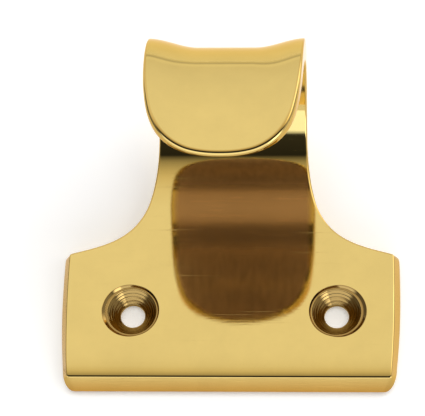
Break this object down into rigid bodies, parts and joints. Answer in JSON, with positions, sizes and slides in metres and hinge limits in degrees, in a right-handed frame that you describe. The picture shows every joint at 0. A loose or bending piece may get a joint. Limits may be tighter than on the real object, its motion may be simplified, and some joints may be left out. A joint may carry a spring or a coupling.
{
  "type": "sash lift handle",
  "caption": "Cast brass hook sash lift: a flat screw plate whose neck arches forward and over into a round-ended finger lip.",
  "frame": {"origin": "on the flat back face that lies against the sash rail, on the casting's middle line and level with the two screw holes", "axes": "+Z out of the sash into the room, +Y up the sash towards the hook, +X to the right along the plate's width"},
  "size_m": [0.0598, 0.0564, 0.0427],
  "materials": {
    "polished_brass": "polished cast brass, mirror bright outside, with brushed polishing marks inside the hook"
  },
  "bodies": {
    "root": {"lift_casting": "polished_brass"}
  },
  "joints": []
}
